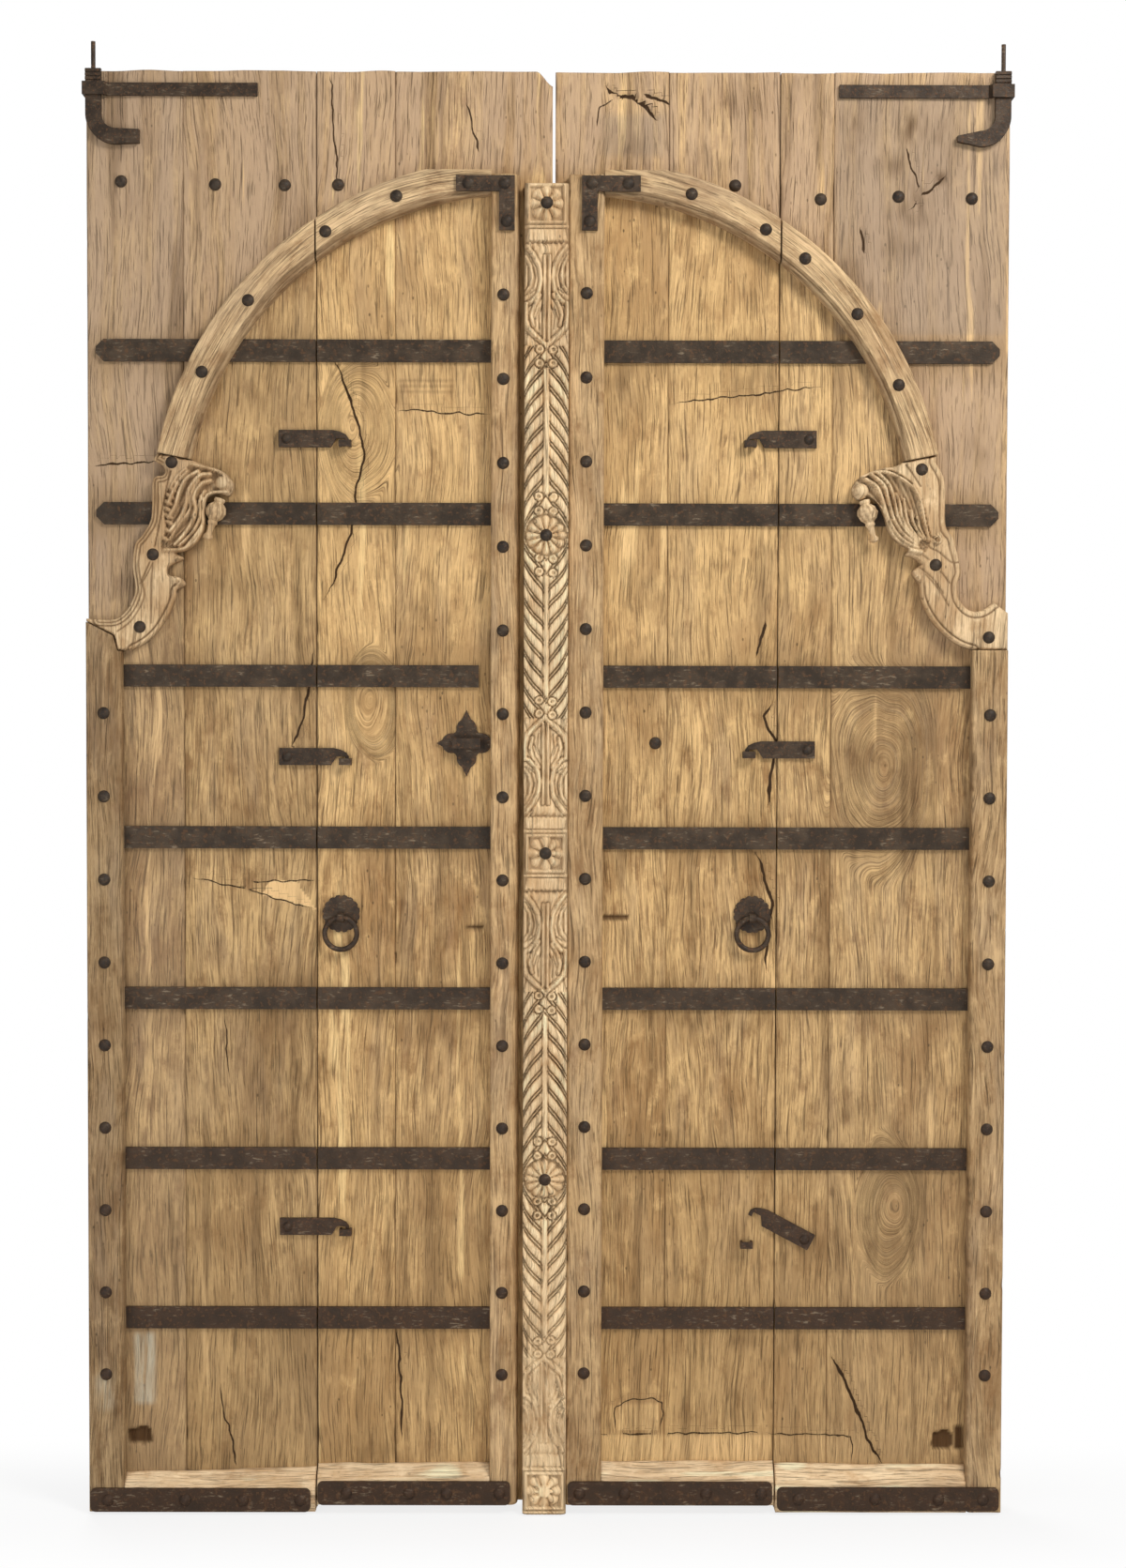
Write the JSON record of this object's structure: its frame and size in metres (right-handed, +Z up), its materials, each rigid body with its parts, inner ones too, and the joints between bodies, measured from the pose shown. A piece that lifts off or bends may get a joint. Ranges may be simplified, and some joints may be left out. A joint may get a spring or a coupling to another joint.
{
  "type": "folding plank door pair",
  "caption": "Tall pair of old carved plank door leaves with an applied arch, iron straps, ring pulls and a carved cover strip; each leaf folds on itself.",
  "frame": {"origin": "middle of the pair's footprint, at the foot of the threshold pins", "axes": "+X to the right as seen from the front, +Y from front to back, +Z up"},
  "size_m": [1.67, 0.118, 2.658],
  "materials": {
    "plank_wood": "weathered, dry",
    "frame_wood": "weathered, worn edges",
    "carved_wood": "weathered carving",
    "sill_wood": "worn pale",
    "ledge_wood": "dry, sawn",
    "old_iron": "dark, scratched, rusted",
    "hinge_iron": "dark"
  },
  "bodies": {
    "threshold_pins": {"heel_pins": "hinge_iron"},
    "left_outer_panel": {"left_plank_a": "plank_wood", "left_plank_b": "plank_wood", "left_outer_straps": "old_iron", "left_outer_stile": "frame_wood", "left_arch_lower": "frame_wood", "left_bracket": "carved_wood", "left_outer_sill": "sill_wood", "left_pivot_iron": "old_iron", "left_pivot_strap": "old_iron", "left_outer_nails": "old_iron", "left_outer_ledges": "ledge_wood", "left_outer_hinges": "hinge_iron"},
    "left_inner_panel": {"left_plank_c": "plank_wood", "left_plank_d": "plank_wood", "left_inner_straps": "old_iron", "left_inner_stile": "frame_wood", "left_arch_upper": "frame_wood", "left_inner_sill": "sill_wood", "left_corner_iron": "old_iron", "left_inner_nails": "old_iron", "left_inner_ledges": "ledge_wood", "left_inner_hinges": "hinge_iron", "left_staples": "old_iron", "left_ring_plate": "old_iron", "lock_plate": "old_iron", "lock_staple": "old_iron"},
    "right_inner_panel": {"right_plank_a": "plank_wood", "right_plank_b": "plank_wood", "right_inner_straps": "old_iron", "right_inner_stile": "frame_wood", "right_arch_upper": "frame_wood", "right_inner_sill": "sill_wood", "cover_strip": "carved_wood", "right_corner_iron": "old_iron", "right_inner_nails": "old_iron", "right_inner_ledges": "ledge_wood", "right_inner_hinges": "hinge_iron", "right_staples": "old_iron", "right_ring_plate": "old_iron"},
    "right_outer_panel": {"right_plank_c": "plank_wood", "right_plank_d": "plank_wood", "right_outer_straps": "old_iron", "right_outer_stile": "frame_wood", "right_arch_lower": "frame_wood", "right_bracket": "carved_wood", "right_outer_sill": "sill_wood", "right_pivot_iron": "old_iron", "right_pivot_strap": "old_iron", "right_outer_nails": "old_iron", "right_outer_ledges": "ledge_wood", "right_outer_hinges": "hinge_iron"},
    "left_hook_top_body": {"left_hook_top": "old_iron"},
    "left_hook_middle_body": {"left_hook_middle": "old_iron"},
    "left_hook_bottom_body": {"left_hook_bottom": "old_iron"},
    "right_hook_top_body": {"right_hook_top": "old_iron"},
    "right_hook_middle_body": {"right_hook_middle": "old_iron"},
    "right_hook_bottom_body": {"right_hook_bottom": "old_iron"},
    "left_ring_body": {"left_ring": "old_iron"},
    "right_ring_body": {"right_ring": "old_iron"}
  },
  "joints": [
    {"name": "right_swing", "type": "hinge", "parent": "threshold_pins", "child": "right_outer_panel", "pos_m": [0.816, -0.014, 0], "axis": [0, 0, 1], "range_deg": [0, 100]},
    {"name": "left_swing", "type": "hinge", "parent": "threshold_pins", "child": "left_outer_panel", "pos_m": [-0.816, -0.014, 0], "axis": [0, 0, -1], "range_deg": [0, 100]},
    {"name": "left_fold", "type": "hinge", "parent": "left_outer_panel", "child": "left_inner_panel", "pos_m": [-0.417, 0.0355, 1.3], "axis": [0, 0, 1], "range_deg": [0, 120]},
    {"name": "right_fold", "type": "hinge", "parent": "right_outer_panel", "child": "right_inner_panel", "pos_m": [0.417, 0.0355, 1.3], "axis": [0, 0, -1], "range_deg": [0, 90]},
    {"name": "left_hook_top_turn", "type": "hinge", "parent": "left_outer_panel", "child": "left_hook_top_body", "pos_m": [-0.471, -0.0125, 1.95075], "axis": [0, -1, 0], "range_deg": [0, 60]},
    {"name": "left_hook_middle_turn", "type": "hinge", "parent": "left_outer_panel", "child": "left_hook_middle_body", "pos_m": [-0.471, -0.0125, 1.37775], "axis": [0, -1, 0], "range_deg": [0, 60]},
    {"name": "left_hook_bottom_turn", "type": "hinge", "parent": "left_outer_panel", "child": "left_hook_bottom_body", "pos_m": [-0.471, -0.0125, 0.52125], "axis": [0, -1, 0], "range_deg": [0, 60]},
    {"name": "right_hook_top_turn", "type": "hinge", "parent": "right_outer_panel", "child": "right_hook_top_body", "pos_m": [0.471, -0.0125, 1.95175], "axis": [0, 1, 0], "range_deg": [0, 60]},
    {"name": "right_hook_middle_turn", "type": "hinge", "parent": "right_outer_panel", "child": "right_hook_middle_body", "pos_m": [0.471, -0.0125, 1.39175], "axis": [0, 1, 0], "range_deg": [0, 60]},
    {"name": "right_hook_bottom_turn", "type": "hinge", "parent": "right_outer_panel", "child": "right_hook_bottom_body", "pos_m": [0.471, -0.0125, 0.49925], "axis": [0, 1, 0], "range_deg": [-28, 32]},
    {"name": "left_ring_swing", "type": "hinge", "parent": "left_inner_panel", "child": "left_ring_body", "pos_m": [-0.373, -0.022, 1.087], "axis": [-1, 0, 0], "range_deg": [0, 140]},
    {"name": "right_ring_swing", "type": "hinge", "parent": "right_inner_panel", "child": "right_ring_body", "pos_m": [0.373, -0.022, 1.087], "axis": [-1, 0, 0], "range_deg": [0, 140]}
  ],
  "couplings": [
    {"joint": "left_swing", "follows": "right_swing", "ratio": 1},
    {"joint": "right_fold", "follows": "left_fold", "ratio": 0.75},
    {"joint": "left_hook_top_turn", "follows": "left_fold", "ratio": 0.5},
    {"joint": "left_hook_middle_turn", "follows": "left_fold", "ratio": 0.5},
    {"joint": "left_hook_bottom_turn", "follows": "left_fold", "ratio": 0.5},
    {"joint": "right_hook_top_turn", "follows": "left_fold", "ratio": 0.5},
    {"joint": "right_hook_middle_turn", "follows": "left_fold", "ratio": 0.5}
  ]
}
